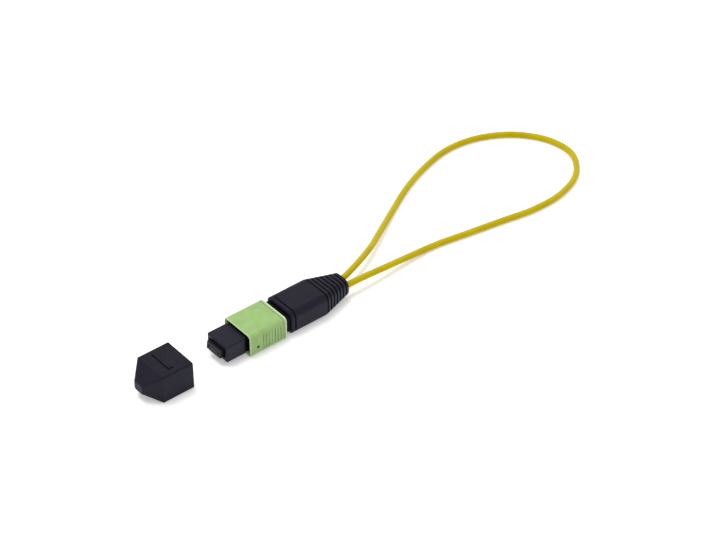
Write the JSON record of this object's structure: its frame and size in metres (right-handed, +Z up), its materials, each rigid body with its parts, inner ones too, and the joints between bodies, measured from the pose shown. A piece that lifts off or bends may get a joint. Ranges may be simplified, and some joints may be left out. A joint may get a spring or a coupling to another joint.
{
  "type": "fibre loopback plug",
  "caption": "Push-on multi-fibre plug with a sliding sleeve, ribbed boot and a jacketed fibre that loops back into it, its dust cap taken off.",
  "frame": {"origin": "on the surface the plug lies on, under the middle of the coupling sleeve, at the sleeve's flat underside", "axes": "+X from the ferrule's face towards the loop, +Y to the side that the loop bows to, +Z up"},
  "size_m": [0.177, 0.0437, 0.0092],
  "materials": {
    "black_housing": "satin moulded black",
    "black_boot": "soft matt black",
    "cap_plastic": "soft matt black",
    "ferrule_compound": "glass-filled, ground face",
    "green_sleeve": "satin moulded green",
    "yellow_jacket": "smooth soft yellow",
    "yarn": "straight yarn",
    "spring_wire": "bright wire",
    "ring_metal": "plain metal",
    "ferrule_rubber": "grey rubber",
    "keeper_plastic": "pale plastic",
    "glass_fibre": "coated glass"
  },
  "bodies": {
    "plug": {"inner_housing": "black_housing", "rear_housing": "black_housing", "strength_yarn": "yarn", "crimp_ring": "ring_metal", "boot": "black_boot", "fibre_loop": "yellow_jacket", "ferrule_spring": "spring_wire", "coupling_spring_left": "spring_wire", "coupling_spring_right": "spring_wire", "fibre_1": "glass_fibre", "fibre_2": "glass_fibre", "fibre_3": "glass_fibre", "fibre_4": "glass_fibre", "fibre_5": "glass_fibre", "fibre_6": "glass_fibre"},
    "sleeve": {"coupling_sleeve": "green_sleeve"},
    "ferrule_group": {"ferrule": "ferrule_compound", "ferrule_boot": "ferrule_rubber", "pin_keeper": "keeper_plastic"},
    "cap": {"dust_cap": "cap_plastic"}
  },
  "joints": [
    {"name": "sleeve_pull", "type": "slide", "parent": "plug", "child": "sleeve", "axis": [1, 0, 0], "range_m": [0, 0.0015], "stiffness_N_per_m": 600, "springref_m": -0.003, "deforming": ["coupling_spring_left", "coupling_spring_right"]},
    {"name": "ferrule_push", "type": "slide", "parent": "plug", "child": "ferrule_group", "axis": [1, 0, 0], "range_m": [0, 0.0009], "stiffness_N_per_m": 1500, "springref_m": -0.004, "deforming": ["ferrule_spring", "fibre_1", "fibre_2", "fibre_3", "fibre_4", "fibre_5", "fibre_6"]},
    {"name": "cap_put_on", "type": "slide", "parent": "plug", "child": "cap", "axis": [1, 0, 0], "range_m": [0, 0.0196]}
  ]
}
